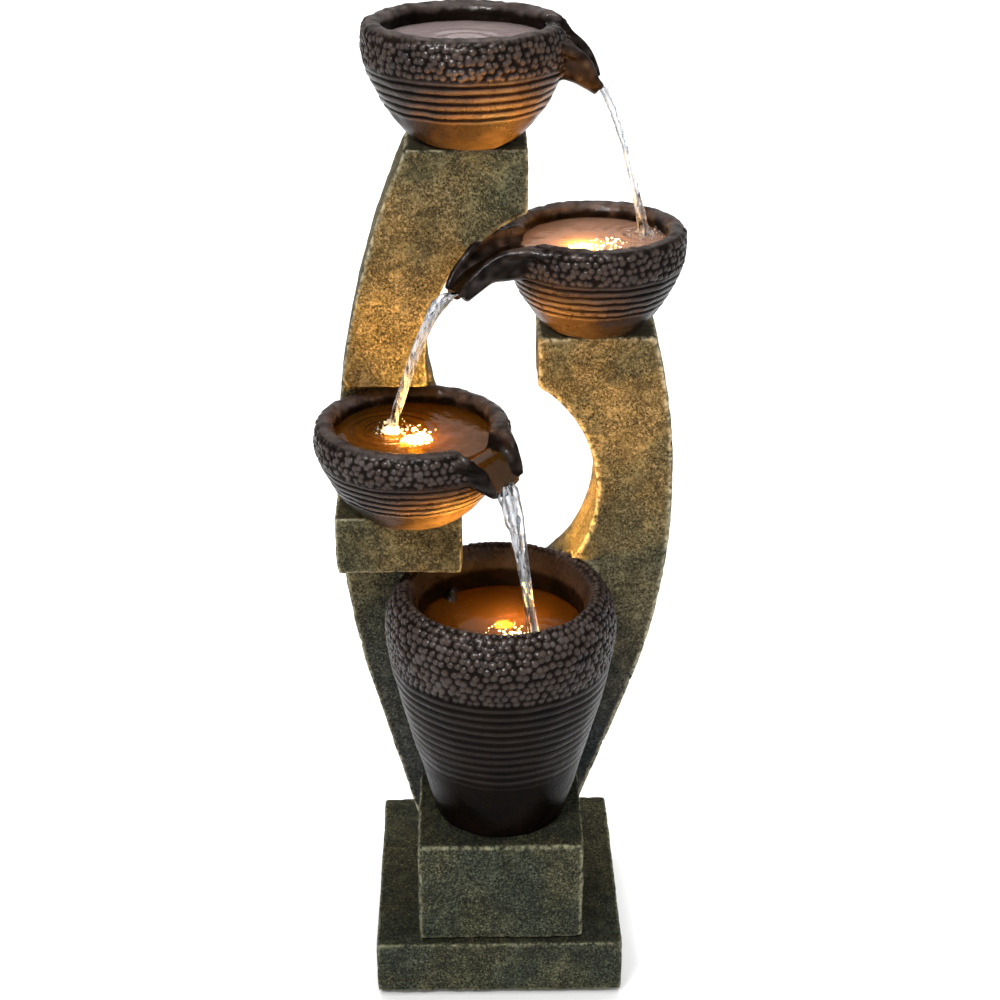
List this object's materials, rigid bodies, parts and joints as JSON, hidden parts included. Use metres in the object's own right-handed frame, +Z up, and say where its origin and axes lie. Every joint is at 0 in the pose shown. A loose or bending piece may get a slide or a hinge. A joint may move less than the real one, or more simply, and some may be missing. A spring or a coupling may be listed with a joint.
{
  "type": "tiered water fountain",
  "caption": "Garden fountain: two curved stone pillars on a square base hold lit bowls that spill one into the next and into a tall pot with a pump.",
  "frame": {"origin": "centre of the square base's footprint, on the ground under the middle foot pad", "axes": "+Z up, -Y towards the front, +X towards the pillar with the middle bowl"},
  "size_m": [0.3647, 0.3082, 0.993],
  "materials": {
    "stone": "mottled olive cast stone, matte",
    "base_stone": "dark green-grey cast stone, matte",
    "glaze": "dark brown semi-gloss glaze",
    "dark_plastic": "black moulded plastic",
    "knob_plastic": "dark grey moulded plastic",
    "rotor_plastic": "grey moulded plastic over a magnet",
    "shaft_ceramic": "polished ceramic rod",
    "screw_steel": "stainless steel",
    "black_rubber": "soft black rubber",
    "light_lens": "clear amber lens",
    "light_board": "white circuit board with chips"
  },
  "bodies": {
    "fountain": {"pedestal_block": "stone", "left_pillar": "stone", "lower_bracket": "stone", "right_pillar": "stone", "left_rear_cover": "stone", "right_rear_cover": "stone", "base_slab": "base_stone", "bowl_top": "glaze", "bowl_middle": "glaze", "bowl_lower": "glaze", "pot": "glaze", "base_plate": "dark_plastic", "riser_elbow_lower": "dark_plastic", "riser_elbow_upper": "dark_plastic", "riser_nozzle": "dark_plastic", "pump_housing": "dark_plastic", "pump_volute": "dark_plastic", "light_middle_housing": "dark_plastic", "light_lower_housing": "dark_plastic", "light_pot_housing": "dark_plastic", "junction_box": "dark_plastic", "power_gland": "dark_plastic", "pump_shaft": "shaft_ceramic", "plate_screws": "screw_steel", "cover_screws": "screw_steel", "foot_pads": "black_rubber", "riser_hose_lower": "black_rubber", "riser_hose_upper": "black_rubber", "riser_bush": "black_rubber", "hose_grommet": "black_rubber", "cable_grommet": "black_rubber", "pump_suction_cups": "black_rubber", "pump_lead": "black_rubber", "lead_middle": "black_rubber", "lead_lower": "black_rubber", "lead_pot": "black_rubber", "light_middle_lens": "light_lens", "light_lower_lens": "light_lens", "light_pot_lens": "light_lens", "light_middle_board": "light_board", "light_lower_board": "light_board", "light_pot_board": "light_board"},
    "rotor": {"impeller_rotor": "rotor_plastic"},
    "strainer": {"strainer_cover": "dark_plastic"},
    "knob": {"flow_knob": "knob_plastic"}
  },
  "joints": [
    {"name": "rotor_spin", "type": "hinge", "parent": "fountain", "child": "rotor", "pos_m": [-0.008, -0.038, 0.232], "axis": [0, -1, 0], "continuous": true},
    {"name": "strainer_pull", "type": "slide", "parent": "fountain", "child": "strainer", "axis": [0, -1, 0], "range_m": [0, 0.01]},
    {"name": "knob_turn", "type": "hinge", "parent": "strainer", "child": "knob", "pos_m": [-0.008, -0.083, 0.232], "axis": [0, -1, 0], "range_deg": [0, 90]}
  ]
}
